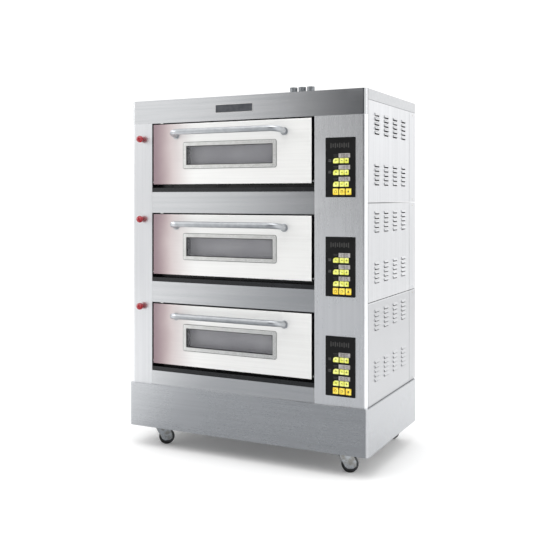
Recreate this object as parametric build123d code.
from build123d import *
import os

# Three-deck electric bakery oven on a castor plinth, modelled as separate pieces.
#
# Frame: +Z up from the floor, +X to the right as seen by the baker, +Y from the doors to the back.
# The origin is on the floor, under the middle of the oven's overall box. Millimetres.

# ---------------------------------------------------------------- cabinet
cabinet_width = 1220.0
cabinet_depth = 710.0
sheet = 1.5  # outer stainless skin
corner_radius = 16.0
seam = 3.0  # gap shown between neighbouring skins
fit_gap = 0.4  # clearance of a piece set into another
screw_clearance = 0.1

# ---------------------------------------------------------------- plinth
plinth_margin = 10.0
plinth_height = 207.0
plinth_rear_inset = 20.0
ground_clearance = 99.0
base_rail_width = 84.0
base_rail_height = 40.0
base_rail_wall = 2.5

# ---------------------------------------------------------------- decks
decks = (1, 2, 3)  # 1 is the top deck
opening_width = 860.0
opening_height = 332.0
deck_rail_height = 100.0
bottom_rail_height = 68.0
canopy_height = 112.0
left_column_width = 118.0
outer_return = 20.0  # how far a front skin wraps round the cabinet's side
jamb_return = 30.0  # how far a front skin turns in beside the opening
lid_flange = 46.0
rear_return = 102.0
rear_corner_radius = 6.0

# ---------------------------------------------------------------- louvres
louvre_columns = 4
louvre_rows = 5
louvre_length = 62.0
louvre_height = 11.0
louvre_reach = 6.0
louvre_slit = 5.0  # open slot below each hood
louvre_column_pitch = 126.0
louvre_row_pitch = 20.0
louvre_first_column = 104.0  # behind the cabinet's front face
louvre_group_bottoms = (32.0, 256.0)  # above the deck's opening
louvre_lip = 1.0

# ---------------------------------------------------------------- doors
door_side_gap = 12.0
door_top_gap = 7.0
door_bottom_gap = 37.0
door_proud = 7.0
door_thickness = 48.0
door_skin_depth = 30.0
door_sheet = 1.2
door_edge_radius = 3.0
hinge_back = 15.0  # hinge axis behind the door's face
hinge_up = 10.0  # hinge axis above the door's lower edge
hinge_pin_radius = 4.0
hinge_pin_clearance = 0.06
hinge_block = 18.0
hinge_pin_head_radius = 6.0
hinge_pin_head = 4.0
handle_radius = 13.5
handle_wall = 1.6
handle_reach = 63.0
handle_half_span = 286.0
handle_drop = 11.0  # feet below the bar
handle_bend = 46.0
handle_below_top = 44.0  # bar below the door's upper edge
handle_foot_radius = 18.0
handle_foot = 4.0
window_width = 466.0
window_height = 98.0
window_below_top = 110.0  # clear window below the opening's upper edge
trim_border = 17.0
trim_lap = 4.0
trim_thickness = 3.0
trim_radius = 8.0
glass_thickness = 4.0
glass_lap = 6.0

# ---------------------------------------------------------------- mouth, chamber
mouth_width = 820.0
mouth_up = 80.0  # mouth's lower edge above the opening's lower edge
mouth_down = 60.0  # mouth's upper edge below the opening's upper edge
mouth_height = opening_height - mouth_up - mouth_down
mouth_sheet = 2.5
mouth_front = 2.0  # front edge of the black frame behind the cabinet's face
sill_height = 20.0
gasket_width = 7.0
gasket_thickness = 8.0
gasket_gap = 0.5
gasket_inset = 5.0  # from the mouth's edge
chamber_width = 832.0
chamber_up = 50.0  # chamber's floor above the opening's lower edge
chamber_down = 50.0  # chamber's ceiling below the opening's upper edge
chamber_height = opening_height - chamber_up - chamber_down
chamber_wall = 1.5
hearth_thickness = 6.0
hearth_up = 28.0  # underside of the hearth above the chamber's floor
hearth_gap = 3.0
hearth_leg = 12.0
hearth_notch = 4.0  # clearance of the legs round the lower elements
element_radius = 4.0
element_bend = 34.0
element_count = 3
element_from_wall = 15.0
element_tail = 46.0
port_radius = 20.0
insulation_thickness = 36.0
shelf_thickness = 2.0
shelf_notch = 6.0  # clearance of a shelf round the exhaust ducts

# ---------------------------------------------------------------- exhaust
pipe_radius = 20.0
pipe_wall = 1.5
pipe_pitch = 50.0
pipe_height = 116.0  # above the lid
pipe_below_lid = 30.0
pipe_flange_radius = 24.0
pipe_flange = 2.0
pipe_clear = 4.0  # between the chambers' backs and the ducts
duct_rear_gap = 12.5  # behind the ducts
stub_radius = 15.0
stub_down = 40.0  # stub's axis below the chamber's ceiling

# ---------------------------------------------------------------- damper
damper_rod_radius = 4.0
damper_from_edge = 58.0  # rod from the cabinet's left side
damper_drops = {1: 74.0, 2: 32.0, 3: 24.0}  # rod below each opening's upper edge
damper_knob_radius = 17.0
damper_standoff = 1.5  # knob's back in front of the column
damper_arm_back = 110.0
damper_arm = 3.0
damper_blade_length = 72.0
damper_blade_thickness = 2.0
damper_blade_gap = 2.0
damper_hole_clearance = 1.5
port_back = 150.0  # vent port behind the cabinet's face
port_down = 42.0  # vent port below the chamber's ceiling

# ---------------------------------------------------------------- control panel
panel_width = 138.0
panel_height = 260.0
panel_thickness = 3.0
panel_below_opening = 25.0  # panel's lower edge below the opening's lower edge
panel_from_edge = 50.0  # from the cabinet's right side
panel_cutout_lap = 6.0
panel_radius = 2.5
control_rows = 3
row_pitch = 51.0
display_left = 62.0
display_top = 70.0
display_width = 53.0
display_height = 18.5
display_thickness = 1.2
key_drop = 20.5  # keys below their display's upper edge
key_height = 22.0
key_radius = 2.5
key_thickness = 0.9
set_key_left = 36.0
set_key_width = 26.0
set_key_round = 12.0
step_key_left = 66.5
step_key_width = 20.0
step_key_pitch = 22.0
button_names = ("power_button", "timer_button", "alarm_button")
button_width = 25.0
button_height = 27.0
button_first = 48.0
button_pitch = 29.8
button_down = 236.0
button_proud = 3.0
button_depth = 10.0
button_flange = 1.5
button_flange_thickness = 2.0
button_round = 3.0
housing_depth = 58.0
housing_lap = 10.0
housing_height = 204.0

# ---------------------------------------------------------------- castors
castor_from_side = 128.0
castor_from_front = 66.0
castor_from_rear = 70.0
castor_plate = (76.0, 64.0, 4.0)
castor_cup_radius = 28.0
castor_cup = 7.0
kingpin_radius = 6.0
kingpin_nut_radius = 10.0
kingpin_nut = 5.0
castor_gap = 0.3  # between the turning head and what holds it
kingpin_clearance = 0.08
wheel_radius = 37.5
castor_crown = 31.0  # mounting face above the wheel's top
castor_height = 2 * wheel_radius + castor_crown
wheel_width = 26.0
hub_radius = 12.0
hub_width = 31.0
tyre_round = 5.0
wheel_trail = 26.0
fork_sheet = 2.5
fork_head = 4.0
fork_gap = 0.6
cheek_reach = 25.0  # the cheeks' half width at the axle
cheek_drop = 17.0  # the cheeks' lower edge below the axle
axle_radius = 4.0
axle_clearance = 0.08
axle_head_radius = 7.0
axle_head = 2.5
castor_turns = {  # each castor's trail, turned from straight back
    "front_left": -48.0,
    "front_right": -56.0,
    "rear_left": -38.0,
    "rear_right": -65.0,
}

# ---------------------------------------------------------------- back
gland_radius = 14.0
gland_bore_radius = 6.5
gland_out = 24.0
gland_nut_radius = 20.0
gland_nut = 6.0
gland_thread = 4.0  # thread past the lock nut
gland_from_edge = 90.0
gland_up = 42.0  # above the plinth
screw_radius = 4.0
screw_head = 2.2
screw_shank_radius = 2.0
screw_shank = 8.0
screw_inset = 14.0

# ---------------------------------------------------------------- worked out
door_reach = door_proud + handle_reach + handle_radius
overall_depth = door_reach + cabinet_depth + gland_out
front = -overall_depth / 2 + door_reach
rear = front + cabinet_depth
right = cabinet_width / 2
left = -right
opening_left = left + left_column_width
opening_right = opening_left + opening_width
middle = (opening_left + opening_right) / 2  # every door's middle
plinth_top = ground_clearance + plinth_height
deck_pitch = opening_height + deck_rail_height
canopy_bottom = plinth_top + bottom_rail_height + len(decks) * deck_pitch - deck_rail_height
cabinet_top = canopy_bottom + canopy_height
lid_bottom = cabinet_top - lid_flange
door_face = front - door_proud
door_back = door_face + door_thickness
hinge_y = door_face + hinge_back
mouth_face = door_back + gasket_gap + gasket_thickness
chamber_front = mouth_face + mouth_sheet
chamber_back = rear - duct_rear_gap - 2 * pipe_radius - pipe_clear
chamber_depth = chamber_back - chamber_wall - chamber_front
pipe_y = chamber_back + pipe_clear + pipe_radius
lid_front = front + outer_return
gland_x = left + gland_from_edge
gland_z = plinth_top + gland_up


def opening_bottom(deck):
    """Height of a deck's opening above the floor."""
    return plinth_top + bottom_rail_height + (len(decks) - deck) * deck_pitch


def opening_top(deck):
    return opening_bottom(deck) + opening_height


def skin_levels(deck):
    """Lower and upper edge of a deck's side and back skins, split half way up the deck rails."""
    low = plinth_top if deck == len(decks) else opening_bottom(deck) - deck_rail_height / 2
    high = lid_bottom if deck == 1 else opening_bottom(deck - 1) - deck_rail_height / 2
    return low + seam / 2, high - seam / 2


def block(x0, x1, y0, y1, z0, z1):
    """A box from its six faces."""
    size = (x1 - x0, y1 - y0, z1 - z0)
    return Pos((x0 + x1) / 2, (y0 + y1) / 2, (z0 + z1) / 2) * Box(*size)


def rounded(solid, axis, radius, keep):
    """Fillets the solid's edges along an axis that the keep test picks by their middle point."""
    edges = [e for e in solid.edges().filter_by(axis) if keep(e.center())]
    return fillet(edges, radius)


def tube_y(radius, x, z, y0, y1):
    """A round bar along Y."""
    return Pos(x, (y0 + y1) / 2, z) * Rot(90, 0, 0) * Cylinder(radius, y1 - y0)


def tube_x(radius, y, z, x0, x1):
    """A round bar along X."""
    return Pos((x0 + x1) / 2, y, z) * Rot(0, 90, 0) * Cylinder(radius, x1 - x0)


def tube_z(radius, x, y, z0, z1):
    """A round bar along Z."""
    return Pos(x, y, (z0 + z1) / 2) * Cylinder(radius, z1 - z0)


def export(name, *solids):
    """Writes one node, from one solid or a group of separate ones."""
    pieces = [s for shape in solids for s in shape.solids()]
    shape = pieces[0] if len(pieces) == 1 else Compound(children=pieces)
    export_step(shape, f"parts/{name}.step")


# ================================================================ plinth and castors
def plinth_skirt():
    side = right + plinth_margin
    y0, y1 = front - plinth_margin, rear - plinth_rear_inset
    outer = block(-side, side, y0, y1, ground_clearance, plinth_top)
    outer = rounded(outer, Axis.Z, corner_radius, lambda c: True)
    inner = block(
        -side + sheet, side - sheet, y0 + sheet, y1 - sheet, ground_clearance - 1, plinth_top - sheet
    )
    inner = rounded(inner, Axis.Z, corner_radius - sheet, lambda c: True)
    return outer - inner


def base_rails():
    y0, y1 = front - plinth_margin + sheet, rear - plinth_rear_inset - sheet
    rails = []
    for x in (left + castor_from_side, right - castor_from_side):
        half = base_rail_width / 2
        z0, z1 = castor_height, castor_height + base_rail_height
        outer = block(x - half, x + half, y0, y1, z0, z1)
        wall = base_rail_wall
        rails.append(outer - block(x - half + wall, x + half - wall, y0 - 1, y1 + 1, z0 + wall, z1 - wall))
    return rails


castor_places = {
    "front_left": (left + castor_from_side, front + castor_from_front),
    "front_right": (right - castor_from_side, front + castor_from_front),
    "rear_left": (left + castor_from_side, rear - castor_from_rear),
    "rear_right": (right - castor_from_side, rear - castor_from_rear),
}
cup_bottom = castor_height - castor_plate[2] - castor_cup
head_top = cup_bottom - castor_gap
head_bottom = head_top - fork_head
cheek_inside = hub_width / 2 + fork_gap
cheek_outside = cheek_inside + fork_sheet


def castor_plate_at(x, y):
    width, depth, thick = castor_plate
    half_w, half_d = width / 2, depth / 2
    plate = block(x - half_w, x + half_w, y - half_d, y + half_d, castor_height - thick, castor_height)
    plate = rounded(plate, Axis.Z, 8, lambda c: True)
    cup = tube_z(castor_cup_radius, x, y, cup_bottom, castor_height - thick)
    nut_bottom = head_bottom - castor_gap - kingpin_nut
    pin = tube_z(kingpin_radius, x, y, nut_bottom, cup_bottom)
    nut = tube_z(kingpin_nut_radius, x, y, nut_bottom, nut_bottom + kingpin_nut)
    return plate + cup + pin + nut


def castor_fork():
    """Fork and its axle about a swivel axis at the origin, wheel trailing towards +Y."""
    wide = castor_cup_radius
    axle_z = wheel_radius
    profile = Polyline(
        (-wide * 0.85, head_top),
        (wide, head_top),
        (wheel_trail + cheek_reach, axle_z + cheek_reach / 2),
        (wheel_trail + cheek_reach, axle_z - cheek_reach / 3),
        (wheel_trail + cheek_reach / 2, axle_z - cheek_drop),
        (wheel_trail - cheek_reach / 2, axle_z - cheek_drop),
        (wheel_trail - cheek_reach, axle_z - cheek_reach / 3),
        (-wide * 0.85, head_bottom - cheek_drop),
        close=True,
    )
    cheek = extrude(Plane.YZ * make_face(profile), fork_sheet)
    head = block(-cheek_outside, cheek_outside, -wide * 0.85, wide, head_bottom, head_top)
    head += tube_z(castor_cup_radius, 0, 0, head_bottom, head_top)
    fork = head + Pos(cheek_inside, 0, 0) * cheek + Pos(-cheek_outside, 0, 0) * cheek
    fork -= tube_z(kingpin_radius + kingpin_clearance, 0, 0, head_bottom - 1, head_top + 1)
    fork -= tube_x(axle_radius + axle_clearance, wheel_trail, axle_z, -cheek_outside - 1, cheek_outside + 1)
    reach = cheek_outside + axle_head
    axle = tube_x(axle_radius, wheel_trail, axle_z, -reach, reach)
    for x in (-reach, cheek_outside):
        axle += tube_x(axle_head_radius, wheel_trail, axle_z, x, x + axle_head)
    return [fork, axle]


def castor_wheel():
    """Wheel on the fork's axle, about the same swivel axis."""
    tyre = tube_x(wheel_radius, 0, 0, -wheel_width / 2, wheel_width / 2)
    tyre = fillet(tyre.edges().filter_by(GeomType.CIRCLE), tyre_round)
    groove = tube_x(wheel_radius - 9, 0, 0, wheel_width / 2 - 3, wheel_width / 2 + 1)
    groove -= tube_x(hub_radius, 0, 0, wheel_width / 2 - 4, wheel_width / 2 + 2)
    tyre -= groove
    tyre -= mirror(groove, about=Plane.YZ)
    wheel = tyre + tube_x(hub_radius, 0, 0, -hub_width / 2, hub_width / 2)
    wheel -= tube_x(axle_radius + axle_clearance, 0, 0, -hub_width, hub_width)
    return Pos(0, wheel_trail, wheel_radius) * wheel


def export_castors():
    fork, wheel = castor_fork(), castor_wheel()
    for corner, (x, y) in castor_places.items():
        place = Pos(x, y, 0) * Rot(0, 0, castor_turns[corner])
        export(f"castor_fork_{corner}", *[place * s for s in fork])
        export(f"castor_wheel_{corner}", place * wheel)


# ================================================================ outer skins
def front_canopy():
    z0, z1 = canopy_bottom, cabinet_top
    outer = block(left, right, front, lid_front, z0, z1)
    outer = rounded(outer, Axis.Z, corner_radius, lambda c: c.Y < front + 1)
    inner = block(left + sheet, right - sheet, front + sheet, lid_front + 1, z0 - 1, z1 - sheet)
    inner = rounded(inner, Axis.Z, corner_radius - sheet, lambda c: c.Y < front + sheet + 1)
    return outer - inner


def pipe_xs():
    """The exhaust pipes stand in a row across the middle of the cabinet."""
    return {deck: (deck - 2) * pipe_pitch for deck in decks}


def top_lid():
    y0 = lid_front + seam
    lid = block(left, right, y0, rear, lid_bottom, cabinet_top)
    lid = rounded(lid, Axis.Z, rear_corner_radius, lambda c: c.Y > rear - 1)
    lid -= block(left + sheet, right - sheet, y0 - 1, rear - sheet, lid_bottom - 1, cabinet_top - sheet)
    for x in pipe_xs().values():
        lid -= tube_z(pipe_radius + fit_gap, x, pipe_y, cabinet_top - 2 * sheet, cabinet_top + 1)
    return lid


def column(x0, x1, outer_side):
    """A front column: a channel with a round outer corner, outer_side -1 on the left and 1 on the right."""
    back, low, high = front + jamb_return, plinth_top, canopy_bottom
    outer = block(x0, x1, front, back, low, high)
    edge = x0 if outer_side < 0 else x1
    inner = block(x0 + sheet, x1 - sheet, front + sheet, back + 1, low - 1, high + 1)
    outer = rounded(outer, Axis.Z, corner_radius, lambda c: c.Y < front + 1 and abs(c.X - edge) < 1)
    inner_edge = edge - outer_side * sheet
    inner = rounded(
        inner, Axis.Z, corner_radius - sheet, lambda c: c.Y < front + sheet + 1 and abs(c.X - inner_edge) < 1
    )
    shell = outer - inner
    trim = 2 * sheet
    return shell - block(edge - trim, edge + trim, front + outer_return, back + 1, low - 1, high + 1)


def hinge_z(deck):
    return opening_bottom(deck) + door_bottom_gap + hinge_up


def damper_z(deck):
    return opening_top(deck) - damper_drops[deck]


damper_x = left + damper_from_edge


def hinge_hole(deck, x0, x1):
    """A hole that a deck's hinge pin goes through with a little room."""
    return tube_x(hinge_pin_radius + fit_gap / 2, hinge_y, hinge_z(deck), x0, x1)


def left_column():
    skin = column(left, opening_left, -1)
    for deck in decks:
        hole = damper_rod_radius + damper_hole_clearance
        skin -= tube_y(hole, damper_x, damper_z(deck), front - 1, front + 2 * sheet)
        skin -= hinge_hole(deck, opening_left - 2 * sheet, opening_left + 1)
    return skin


panel_right = right - panel_from_edge
panel_left = panel_right - panel_width


def panel_top(deck):
    return opening_bottom(deck) - panel_below_opening + panel_height


def control_column():
    skin = column(opening_right, right, 1)
    for deck in decks:
        lap = panel_cutout_lap
        z0, z1 = panel_top(deck) - panel_height + lap, panel_top(deck) - lap
        skin -= block(panel_left + lap, panel_right - lap, front - 1, front + 2 * sheet, z0, z1)
        skin -= hinge_hole(deck, opening_right - 1, opening_right + 2 * sheet)
    return skin


def deck_rail(deck):
    """The rail under a deck's door, a channel open to the back."""
    high = opening_bottom(deck)
    low = plinth_top if deck == len(decks) else high - deck_rail_height
    x0, x1 = opening_left + fit_gap, opening_right - fit_gap
    outer = block(x0, x1, front, front + jamb_return, low, high)
    return outer - block(x0 - 1, x1 + 1, front + sheet, front + jamb_return + 1, low + sheet, high - sheet)


def louvre_cuts(deck):
    """Pressed louvres on a right-hand skin: the hoods that stand out, and the hollows under them."""
    z0 = opening_bottom(deck)
    hoods, hollows = [], []
    hood_face = Polyline((0, louvre_height), (louvre_reach, 1.5), (louvre_reach, 0), (0, 0), close=True)
    lip = louvre_lip
    hollow_face = Polyline(
        (-2 * sheet, louvre_height - 2 * lip),
        (0, louvre_height - 2 * lip),
        (louvre_reach - lip, 1.5),
        (louvre_reach - lip, -1),
        (sheet / 2, -1),
        (sheet / 2, -louvre_slit),
        (-2 * sheet, -louvre_slit),
        close=True,
    )
    hood = extrude(Plane.XZ * make_face(hood_face), louvre_length / 2, both=True)
    hollow = extrude(Plane.XZ * make_face(hollow_face), louvre_length / 2 - lip, both=True)
    for bottom in louvre_group_bottoms:
        for row in range(louvre_rows):
            for col in range(louvre_columns):
                y = front + louvre_first_column + louvre_length / 2 + col * louvre_column_pitch
                place = Pos(right, y, z0 + bottom + row * louvre_row_pitch)
                hoods.append(place * hood)
                hollows.append(place * hollow)
    return hoods, hollows


def side_panel(deck):
    """A right-hand side skin with its louvres."""
    low, high = skin_levels(deck)
    y0 = lid_front + seam
    plate = block(right - sheet, right, y0, rear - rear_return - seam / 2, low, high)
    hoods, hollows = louvre_cuts(deck)
    return plate.fuse(*hoods).cut(*hollows)


def back_panel(deck):
    """A back skin that wraps round both rear corners."""
    low, high = skin_levels(deck)
    outer = block(left, right, rear - rear_return + seam / 2, rear, low, high)
    outer = rounded(outer, Axis.Z, rear_corner_radius, lambda c: c.Y > rear - 1)
    skin = outer - block(
        left + sheet, right - sheet, rear - rear_return - 1, rear - sheet, low - 1, high + 1
    )
    if deck == len(decks):
        skin -= tube_y(gland_radius + fit_gap, gland_x, gland_z, rear - 2 * sheet, rear + 1)
    return skin


# ================================================================ doors
def door_levels(deck):
    return opening_bottom(deck) + door_bottom_gap, opening_top(deck) - door_top_gap


def window_levels(deck):
    high = opening_top(deck) - window_below_top
    return high - window_height, high


door_half = opening_width / 2 - door_side_gap
window_half = window_width / 2


def door_skin(deck):
    z0, z1 = door_levels(deck)
    x0, x1 = middle - door_half, middle + door_half
    outer = block(x0, x1, door_face, door_face + door_skin_depth, z0, z1)
    outer = fillet(outer.faces().sort_by(Axis.Y)[0].edges(), door_edge_radius)
    t = door_sheet
    pan = outer - block(x0 + t, x1 - t, door_face + t, door_back, z0 + t, z1 - t)
    w0, w1 = window_levels(deck)
    pan -= block(middle - window_half, middle + window_half, door_face - 1, door_face + 2 * t, w0, w1)
    hole = hinge_pin_radius + 2 * fit_gap
    return pan - tube_x(hole, hinge_y, hinge_z(deck), x0 - 1, x1 + 1)


def door_liner(deck):
    z0, z1 = door_levels(deck)
    t = door_sheet
    inset = t + fit_gap / 2
    x0, x1 = middle - door_half + inset, middle + door_half - inset
    low, high = z0 + inset, z1 - inset
    y0 = door_face + glass_thickness + 2 * t + fit_gap
    pan = block(x0, x1, y0, door_back, low, high)
    pan -= block(x0 + t, x1 - t, y0 - 1, door_back - t, low + t, high - t)
    w0, w1 = window_levels(deck)
    half = window_half + t
    tunnel = block(middle - half, middle + half, y0, door_back - t / 2, w0 - t, w1 + t)
    liner = pan + tunnel
    liner -= block(middle - window_half, middle + window_half, y0 - 1, door_back - t, w0, w1)
    lip = glass_lap
    inner_half = window_half - lip
    liner -= block(middle - inner_half, middle + inner_half, y0, door_back + 1, w0 + lip, w1 - lip)
    for side in (-1, 1):
        edge = x0 if side < 0 else x1
        a, b = sorted((edge, edge - side * hinge_block))
        liner += block(a, b, door_face + t + fit_gap, hinge_y + hinge_block / 2, low, low + hinge_block)
    bore = hinge_pin_radius + hinge_pin_clearance
    return liner - tube_x(bore, hinge_y, hinge_z(deck), x0 - 1, x0 + hinge_block + 1) - tube_x(
        bore, hinge_y, hinge_z(deck), x1 - hinge_block - 1, x1 + 1
    )


def window_trim(deck):
    w0, w1 = window_levels(deck)
    y0 = door_face - trim_thickness
    out, into = trim_border, trim_lap
    ring = block(
        middle - window_half - out + into, middle + window_half + out - into, y0, door_face,
        w0 - out + into, w1 + out - into,
    )
    ring = rounded(ring, Axis.Y, trim_radius, lambda c: True)
    ring = fillet(ring.faces().sort_by(Axis.Y)[0].edges(), trim_thickness * 0.6)
    hole = block(
        middle - window_half + into, middle + window_half - into, y0 - 1, door_face + 1, w0 + into, w1 - into
    )
    return ring - rounded(hole, Axis.Y, 2, lambda c: True)


def window_glass(deck):
    """Outer pane behind the door's skin, inner pane seated in the liner's tunnel."""
    w0, w1 = window_levels(deck)
    y0 = door_face + door_sheet
    lap = glass_lap
    outer = block(
        middle - window_half - lap, middle + window_half + lap, y0, y0 + glass_thickness, w0 - lap, w1 + lap
    )
    y1 = door_back - door_sheet
    gap = fit_gap
    inner = block(
        middle - window_half + gap, middle + window_half - gap, y1 - glass_thickness, y1, w0 + gap, w1 - gap
    )
    return [outer, inner]


def handle_z(deck):
    return door_levels(deck)[1] - handle_below_top


def door_handle(deck):
    """A bow handle: a straight bar whose ends bend back and down to two feet on the door."""
    bar_y, bar_z = door_face - handle_reach, handle_z(deck)
    foot_z = bar_z - handle_drop
    half = handle_half_span
    path = FilletPolyline(
        (middle - half, door_face, foot_z),
        (middle - half, bar_y, bar_z),
        (middle + half, bar_y, bar_z),
        (middle + half, door_face, foot_z),
        radius=handle_bend,
    )
    across = Plane(path @ 0, z_dir=path % 0)
    bow = sweep(across * Circle(handle_radius), path=path)
    reach = 3 * handle_radius
    x0, x1 = middle - half - reach, middle + half + reach
    bow -= block(x0, x1, door_face, door_face + reach, foot_z - reach, foot_z + reach)
    for x in (middle - half, middle + half):
        bow += tube_y(handle_foot_radius, x, foot_z, door_face - handle_foot, door_face)
    bore = sweep(across * Circle(handle_radius - handle_wall), path=path)
    return bow - bore


def hinge_pins():
    """Pins through the jambs into the doors' hinge blocks, one at each end of each door."""
    pins = []
    inset = door_sheet + fit_gap / 2
    for deck in decks:
        for side in (-1, 1):
            jamb = middle + side * opening_width / 2
            tip = middle + side * (door_half - inset - hinge_block + 2)
            seat = jamb + side * sheet
            a, b = sorted((tip, seat))
            pin = tube_x(hinge_pin_radius, hinge_y, hinge_z(deck), a, b)
            c, d = sorted((seat, seat + side * hinge_pin_head))
            pins.append(pin + tube_x(hinge_pin_head_radius, hinge_y, hinge_z(deck), c, d))
    return pins


# ================================================================ mouths and chambers
def mouth_levels(deck):
    low = opening_bottom(deck) + mouth_up
    return low, low + mouth_height


def mouth_frame(deck):
    """Black frame set into a deck's opening: jambs, sill, and the plate round the chamber's mouth."""
    gap = fit_gap / 2
    x0, x1 = opening_left + gap, opening_right - gap
    z0, z1 = opening_bottom(deck) + gap, opening_top(deck) - gap
    y0 = front + mouth_front
    t = mouth_sheet
    frame = block(x0, x1, y0, chamber_front, z0, z1)
    frame -= block(x0 + t, x1 - t, y0 - 1, mouth_face, z0 + t, z1 - t)
    m0, m1 = mouth_levels(deck)
    half = mouth_width / 2
    frame -= block(middle - half, middle + half, y0, chamber_front + 1, m0, m1)
    frame += block(x0 + t, x1 - t, y0, y0 + t, z0 + t, z0 + sill_height)
    frame += block(x0 + t, x1 - t, y0, mouth_face, z0 + sill_height - t, z0 + sill_height)
    return frame - hinge_hole(deck, x0 - 1, x1 + 1)


def mouth_gasket(deck):
    m0, m1 = mouth_levels(deck)
    half = mouth_width / 2
    y0, y1 = mouth_face - gasket_thickness, mouth_face
    into, out = gasket_inset, gasket_inset + gasket_width
    ring = block(middle - half - out, middle + half + out, y0, y1, m0 - out, m1 + out)
    ring = rounded(ring, Axis.Y, 14, lambda c: True)
    hole = block(middle - half - into, middle + half + into, y0 - 1, y1 + 1, m0 - into, m1 + into)
    ring -= rounded(hole, Axis.Y, 14 - gasket_width, lambda c: True)
    return fillet(ring.faces().sort_by(Axis.Y)[0].edges(), gasket_width * 0.4)


def chamber_levels(deck):
    low = opening_bottom(deck) + chamber_up
    return low, low + chamber_height


chamber_half = chamber_width / 2
element_pitch = chamber_depth / element_count


def element_places(deck):
    """Depth and height of each hairpin element, over and under the bread."""
    low, high = chamber_levels(deck)
    levels = (low + element_from_wall, high - element_from_wall)
    return [(chamber_front + element_pitch * (i + 0.5), z) for z in levels for i in range(element_count)]


def chamber(deck):
    """Chamber liner, open to the mouth, with its vent port, flue port and element holes."""
    low, high = chamber_levels(deck)
    t = chamber_wall
    x0, x1 = middle - chamber_half, middle + chamber_half
    liner = block(x0 - t, x1 + t, chamber_front, chamber_back, low - t, high + t)
    liner -= block(x0, x1, chamber_front - 1, chamber_back - t, low, high)
    liner -= tube_x(port_radius, front + port_back, high - port_down, x0 - 2 * t, x0 + t)
    hole = stub_radius + fit_gap
    liner -= tube_y(hole, pipe_xs()[deck], high - stub_down, chamber_back - 2 * t, chamber_back + t)
    for y, z in element_places(deck):
        for leg in (-element_bend, element_bend):
            liner -= tube_x(element_radius + fit_gap, y + leg, z, x1 - t, x1 + 2 * t)
    return liner


def heating_element(y, z):
    """A hairpin element whose two tails leave through the chamber's right wall."""
    near = middle - chamber_half + 30
    far = middle + chamber_half + element_tail
    bend = element_bend
    path = Line((far, y - bend, z), (near + bend, y - bend, z))
    path += RadiusArc((near + bend, y - bend, z), (near + bend, y + bend, z), bend)
    path += Line((near + bend, y + bend, z), (far, y + bend, z))
    section = Plane((far, y - bend, z), z_dir=(-1, 0, 0)) * Circle(element_radius)
    return sweep(section, path=path)


def hearth_plate(deck):
    """Steel hearth: a plate on two folded legs that stand on the chamber's floor."""
    low = chamber_levels(deck)[0]
    x0, x1 = middle - chamber_half + hearth_gap, middle + chamber_half - hearth_gap
    y0, y1 = chamber_front + hearth_gap, chamber_back - chamber_wall - hearth_gap
    top = low + hearth_up + hearth_thickness
    hearth = block(x0, x1, y0, y1, low, top)
    hearth -= block(x0 + hearth_leg, x1 - hearth_leg, y0 - 1, y1 + 1, low - 1, low + hearth_up)
    reach = element_radius + hearth_notch
    for y, z in element_places(deck):
        if z < top:
            half = element_bend + reach
            hearth -= block(x1 - hearth_leg - 1, x1 + 1, y - half, y + half, low - 1, z + reach)
    return hearth


def insulation(deck):
    """Mineral-wool slabs over, under and beside a chamber."""
    low, high = chamber_levels(deck)
    t = insulation_thickness
    x0, x1 = middle - chamber_half - chamber_wall, middle + chamber_half + chamber_wall
    z0, z1 = low - chamber_wall, high + chamber_wall
    over = block(x0, x1, chamber_front, chamber_back, z1, z1 + t)
    under = block(x0, x1, chamber_front, chamber_back, z0 - t, z0)
    beside = block(x0 - t, x0, front + port_back + damper_blade_length, chamber_back, z0, z1)
    return [over, under, beside]


def deck_shelf(deck):
    """Shelf from side skin to side skin that carries a deck's chamber on its insulation."""
    high = chamber_levels(deck)[0] - chamber_wall - insulation_thickness
    shelf = block(left + sheet, right - sheet, chamber_front, rear - sheet, high - shelf_thickness, high)
    half = pipe_radius + shelf_notch
    xs = pipe_xs().values()
    return shelf - block(min(xs) - half, max(xs) + half, pipe_y - half, rear, high - 10, high + 10)


# ================================================================ exhaust and dampers
def exhaust_spigot(x):
    """The short pipe that stands out of the lid, with its roof flange."""
    z0, z1 = cabinet_top - pipe_below_lid, cabinet_top + pipe_height
    pipe = tube_z(pipe_radius, x, pipe_y, z0, z1)
    pipe += tube_z(pipe_flange_radius, x, pipe_y, cabinet_top, cabinet_top + pipe_flange)
    return pipe - tube_z(pipe_radius - pipe_wall, x, pipe_y, z0 - 1, z1 + 1)


def exhaust_duct(deck):
    """Duct from a chamber's back wall up to its spigot."""
    x = pipe_xs()[deck]
    z_stub = chamber_levels(deck)[1] - stub_down
    z0, z1 = z_stub - pipe_radius - 5, cabinet_top - pipe_below_lid
    duct = tube_z(pipe_radius, x, pipe_y, z0, z1)
    duct += tube_y(stub_radius, x, z_stub, chamber_back - chamber_wall, pipe_y)
    duct -= tube_z(pipe_radius - pipe_wall, x, pipe_y, z0 + pipe_wall, z1 + 1)
    return duct - tube_y(stub_radius - pipe_wall, x, z_stub, chamber_back - 2 * chamber_wall, pipe_y)


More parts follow.
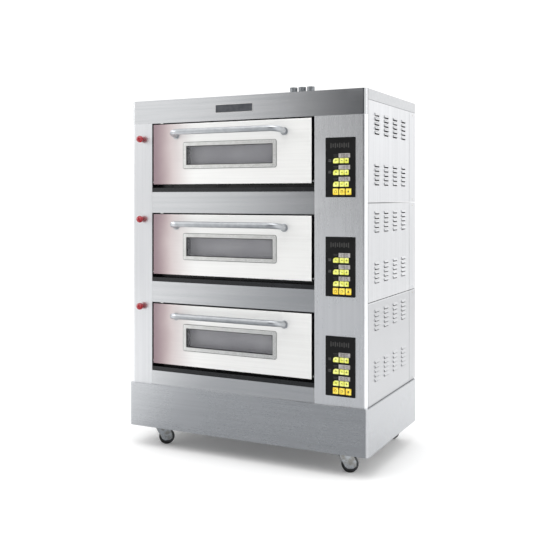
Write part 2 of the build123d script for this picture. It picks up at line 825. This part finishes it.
def damper(deck):
    """Pull rod with its arm and sliding blade, and the ball knob screwed on its front end."""
    z, port_z = damper_z(deck), chamber_levels(deck)[1] - port_down
    wall = middle - chamber_half - chamber_wall
    blade_x = wall - damper_blade_gap - damper_blade_thickness
    y_arm = front + damper_arm_back
    knob_back = front - damper_standoff
    rod = tube_y(damper_rod_radius, damper_x, z, knob_back - damper_knob_radius, y_arm + damper_arm)
    rod += block(damper_x, blade_x, y_arm, y_arm + damper_arm, z - 7, z + 7)
    low, high = port_z - port_radius - 5, max(port_z + port_radius + 5, z + 7)
    rod += block(
        blade_x, blade_x + damper_blade_thickness, y_arm, y_arm + damper_blade_length, min(low, z - 7), high
    )
    knob = Pos(damper_x, knob_back - damper_knob_radius, z) * Sphere(damper_knob_radius)
    knob += tube_y(damper_rod_radius + 3, damper_x, z, knob_back - 4, knob_back)
    socket = tube_y(damper_rod_radius, damper_x, z, knob_back - damper_knob_radius, knob_back + 1)
    return [rod, knob - socket]


# ================================================================ control panels
def panel_point(deck, across, down):
    """A point on a control panel's face, measured from its upper left corner."""
    return panel_left + across, panel_top(deck) - down


def button_places(deck):
    return [panel_point(deck, button_first + i * button_pitch, button_down) for i in range(len(button_names))]


def control_panel(deck):
    """Fascia, with the controller's housing moulded behind it above the push buttons."""
    top = panel_top(deck)
    plate = block(panel_left, panel_right, front - panel_thickness, front, top - panel_height, top)
    plate = rounded(plate, Axis.Y, panel_radius, lambda c: True)
    lap = housing_lap
    z0, z1 = top - lap - housing_height, top - lap
    plate += block(panel_left + lap, panel_right - lap, front, front + housing_depth, z0, z1)
    half_w, half_h = button_width / 2 + fit_gap, button_height / 2 + fit_gap
    for x, z in button_places(deck):
        plate -= block(x - half_w, x + half_w, front - panel_thickness - 1, front + 1, z - half_h, z + half_h)
    return plate


def pad(x0, x1, z0, z1, thickness, radius, big_corner=0.0):
    """A raised pad on a panel's face, with one corner rounder than the rest if asked."""
    y1 = front - panel_thickness
    solid = block(x0, x1, y1 - thickness, y1, z0, z1)
    if big_corner:
        solid = rounded(solid, Axis.Y, big_corner, lambda c: c.X < x0 + 1 and c.Z > z1 - 1)
        return rounded(solid, Axis.Y, radius, lambda c: c.X > x1 - 1 or (c.X < x0 + 1 and c.Z < z0 + 1))
    return rounded(solid, Axis.Y, radius, lambda c: True)


def display_windows(deck):
    found = []
    for row in range(control_rows):
        x, z = panel_point(deck, display_left, display_top + row * row_pitch)
        found.append(pad(x, x + display_width, z - display_height, z, display_thickness, 1.5))
    return found


def membrane_keys(deck):
    """One set key and two step keys under each display."""
    found = []
    for row in range(control_rows):
        down = display_top + row * row_pitch + key_drop
        x, z = panel_point(deck, set_key_left, down)
        found.append(pad(x, x + set_key_width, z - key_height, z, key_thickness, key_radius, set_key_round))
        for step in range(2):
            x, z = panel_point(deck, step_key_left + step * step_key_pitch, down)
            found.append(pad(x, x + step_key_width, z - key_height, z, key_thickness, key_radius))
    return found


def push_button(x, z):
    """A button cap through the panel, held in by a flange behind it."""
    half_w, half_h = button_width / 2, button_height / 2
    y0 = front - panel_thickness - button_proud
    cap = block(x - half_w, x + half_w, y0, front + button_depth, z - half_h, z + half_h)
    cap = rounded(cap, Axis.Y, button_round, lambda c: True)
    cap = fillet(cap.faces().sort_by(Axis.Y)[0].edges(), 1.0)
    wide, high = half_w + button_flange, half_h + button_flange
    y1 = front + fit_gap
    return cap + block(x - wide, x + wide, y1, y1 + button_flange_thickness, z - high, z + high)


# ================================================================ back fittings
def cable_gland():
    """Supply cable's gland in the lowest back skin, with its lock nut inside."""
    inner_end = rear - sheet - gland_nut - gland_thread
    gland = tube_y(gland_radius, gland_x, gland_z, inner_end, rear + gland_out)
    gland += tube_y(gland_nut_radius, gland_x, gland_z, rear, rear + gland_nut)
    gland += tube_y(gland_nut_radius, gland_x, gland_z, rear - sheet - gland_nut, rear - sheet)
    return gland - tube_y(gland_bore_radius, gland_x, gland_z, inner_end - 1, rear + gland_out + 1)


def panel_screws():
    """Pan-head screws along the rear edges of the side skins."""
    screws = []
    y = rear - rear_return / 2
    for deck in decks:
        low, high = skin_levels(deck)
        for z in (low + screw_inset, high - screw_inset):
            for side in (-1, 1):
                face = side * right
                a, b = sorted((face, face + side * screw_head))
                c, d = sorted((face, face - side * screw_shank))
                head = tube_x(screw_radius, y, z, a, b)
                outer = head.faces().sort_by(Axis.X)[-1 if side > 0 else 0]
                head = fillet(outer.edges(), screw_head * 0.6)
                screws.append(head + tube_x(screw_shank_radius, y, z, c, d))
    return screws


def screw_holes(skin):
    """Cuts the screws' holes through the back skins' side returns."""
    y = rear - rear_return / 2
    for deck in decks:
        low, high = skin_levels(deck)
        for z in (low + screw_inset, high - screw_inset):
            skin = [s - tube_x(screw_shank_radius + screw_clearance, y, z, left - 1, right + 1) for s in skin]
    return skin


def main():
    os.makedirs("parts", exist_ok=True)
    export("plinth_skirt", plinth_skirt())
    export("castor_rails", *base_rails(), *[castor_plate_at(x, y) for x, y in castor_places.values()])
    export_castors()
    export("front_canopy", front_canopy())
    export("top_lid", top_lid())
    export("left_column", left_column())
    export("control_column", control_column())
    export("deck_rails", *[deck_rail(d) for d in decks])
    right_skins = [side_panel(d) for d in decks]
    export("side_panels", *right_skins, *[mirror(s, about=Plane.YZ) for s in right_skins])
    export("back_panels", *screw_holes([back_panel(d) for d in decks]))
    export("panel_screws", *panel_screws())
    export("cable_gland", cable_gland())
    for deck in decks:
        export(f"door_skin_{deck}", door_skin(deck))
        export(f"door_liner_{deck}", door_liner(deck))
        export(f"window_trim_{deck}", window_trim(deck))
        export(f"window_glass_{deck}", *window_glass(deck))
        export(f"door_handle_{deck}", door_handle(deck))
        export(f"damper_{deck}", *damper(deck))
        export(f"chamber_{deck}", chamber(deck))
        for name, (x, z) in zip(button_names, button_places(deck)):
            export(f"{name}_{deck}", push_button(x, z))
    export("hinge_pins", *hinge_pins())
    export("mouth_frames", *[mouth_frame(d) for d in decks])
    export("mouth_gaskets", *[mouth_gasket(d) for d in decks])
    export("heating_elements", *[heating_element(y, z) for d in decks for y, z in element_places(d)])
    export("hearth_plates", *[hearth_plate(d) for d in decks])
    export("insulation", *[s for d in decks for s in insulation(d)])
    export("deck_shelves", *[deck_shelf(d) for d in decks])
    spigots = [exhaust_spigot(x) for x in pipe_xs().values()]
    export("exhaust_pipes", *spigots, *[exhaust_duct(d) for d in decks])
    export("control_panels", *[control_panel(d) for d in decks])
    export("display_windows", *[s for d in decks for s in display_windows(d)])
    export("membrane_keys", *[s for d in decks for s in membrane_keys(d)])


main()
